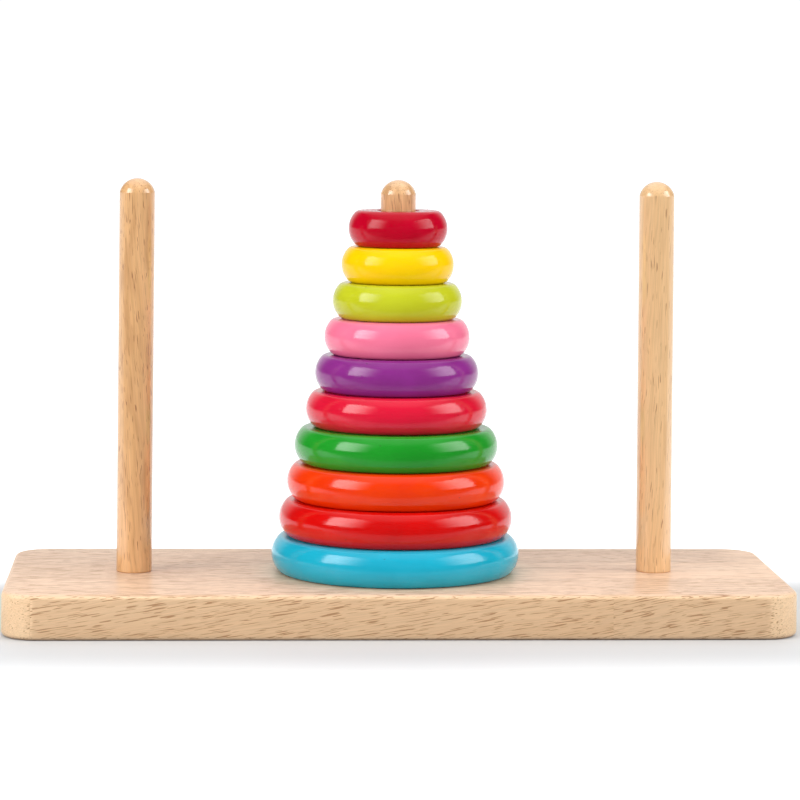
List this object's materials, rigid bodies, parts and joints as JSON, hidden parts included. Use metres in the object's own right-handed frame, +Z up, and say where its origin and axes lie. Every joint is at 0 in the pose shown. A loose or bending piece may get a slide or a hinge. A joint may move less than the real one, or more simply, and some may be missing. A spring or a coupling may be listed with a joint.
{
  "type": "tower of hanoi puzzle",
  "caption": "Wooden tower of Hanoi puzzle: a rounded board with round-tipped pegs and painted rings of falling size stacked on the middle peg.",
  "frame": {"origin": "middle of the board's underside, on the surface that the puzzle stands on", "axes": "+X along the board through the row of pegs, +Y across it towards the back, +Z up along the pegs"},
  "size_m": [0.2986, 0.116, 0.1688],
  "materials": {
    "board_wood": "pale rubberwood board with a satin clear lacquer",
    "peg_wood": "rubberwood dowel with a satin clear lacquer",
    "screw_steel": "zinc-plated steel wood screw",
    "turquoise_paint": "wood under glossy turquoise paint",
    "red_paint": "wood under glossy red paint",
    "orange_paint": "wood under glossy orange paint",
    "green_paint": "wood under glossy green paint",
    "crimson_paint": "wood under glossy rose-crimson paint",
    "purple_paint": "wood under glossy purple paint",
    "pink_paint": "wood under glossy pink paint",
    "lime_paint": "wood under glossy lime paint",
    "yellow_paint": "wood under glossy yellow paint",
    "cherry_paint": "wood under glossy cherry-red paint"
  },
  "bodies": {
    "stand": {"base_board": "board_wood", "peg_left": "peg_wood", "peg_middle": "peg_wood", "peg_right": "peg_wood", "screw_left": "screw_steel", "screw_middle": "screw_steel", "screw_right": "screw_steel"},
    "turquoise_ring": {"ring_01_turquoise": "turquoise_paint"},
    "red_ring": {"ring_02_red": "red_paint"},
    "orange_ring": {"ring_03_orange": "orange_paint"},
    "green_ring": {"ring_04_green": "green_paint"},
    "crimson_ring": {"ring_05_crimson": "crimson_paint"},
    "purple_ring": {"ring_06_purple": "purple_paint"},
    "pink_ring": {"ring_07_pink": "pink_paint"},
    "lime_ring": {"ring_08_lime": "lime_paint"},
    "yellow_ring": {"ring_09_yellow": "yellow_paint"},
    "cherry_ring": {"ring_10_cherry": "cherry_paint"}
  },
  "joints": [
    {"name": "turquoise_lift", "type": "slide", "parent": "stand", "child": "turquoise_ring", "axis": [0, 0, 1], "range_m": [0, 0.154]},
    {"name": "red_lift", "type": "slide", "parent": "turquoise_ring", "child": "red_ring", "axis": [0, 0, 1], "range_m": [0, 0.14]},
    {"name": "orange_lift", "type": "slide", "parent": "red_ring", "child": "orange_ring", "axis": [0, 0, 1], "range_m": [0, 0.126]},
    {"name": "green_lift", "type": "slide", "parent": "orange_ring", "child": "green_ring", "axis": [0, 0, 1], "range_m": [0, 0.112]},
    {"name": "crimson_lift", "type": "slide", "parent": "green_ring", "child": "crimson_ring", "axis": [0, 0, 1], "range_m": [0, 0.098]},
    {"name": "purple_lift", "type": "slide", "parent": "crimson_ring", "child": "purple_ring", "axis": [0, 0, 1], "range_m": [0, 0.084]},
    {"name": "pink_lift", "type": "slide", "parent": "purple_ring", "child": "pink_ring", "axis": [0, 0, 1], "range_m": [0, 0.07]},
    {"name": "lime_lift", "type": "slide", "parent": "pink_ring", "child": "lime_ring", "axis": [0, 0, 1], "range_m": [0, 0.056]},
    {"name": "yellow_lift", "type": "slide", "parent": "lime_ring", "child": "yellow_ring", "axis": [0, 0, 1], "range_m": [0, 0.042]},
    {"name": "cherry_lift", "type": "slide", "parent": "yellow_ring", "child": "cherry_ring", "axis": [0, 0, 1], "range_m": [0, 0.028]}
  ]
}
